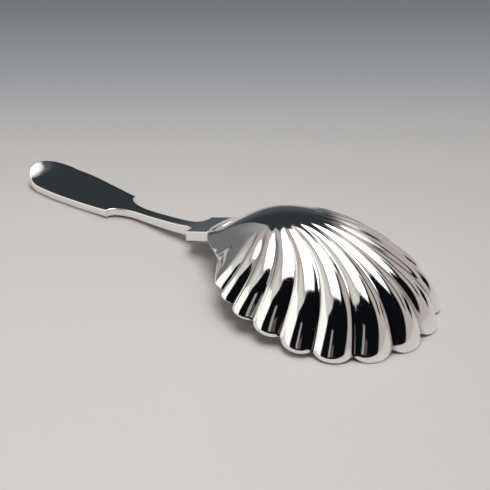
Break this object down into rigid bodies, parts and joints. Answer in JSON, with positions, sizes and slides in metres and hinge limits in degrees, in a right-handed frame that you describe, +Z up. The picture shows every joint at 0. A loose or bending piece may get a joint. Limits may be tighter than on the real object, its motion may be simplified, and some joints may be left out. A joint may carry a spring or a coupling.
{
  "type": "caddy spoon",
  "caption": "Caddy spoon lying bowl down: a scallop shell bowl with radiating flutes and ears, a cranked stem with square shoulders and a fiddle handle with a lifted end.",
  "frame": {"origin": "centre of the spoon's box, on the table plane that it lies on bowl down", "axes": "+X along the spoon from the handle's end to the bowl's tip, +Z up from the table out of the bowl's back, +Y across"},
  "size_m": [0.0908, 0.0328, 0.0133],
  "materials": {
    "bowl_silver": "mirror polished sterling silver with fine wear scratches",
    "handle_silver": "polished sterling silver, worn a little softer than the bowl",
    "hard_solder": "polished silver solder"
  },
  "bodies": {
    "root": {"fluted_shell_bowl": "bowl_silver", "fiddle_handle": "handle_silver", "solder_seam": "hard_solder"}
  },
  "joints": []
}
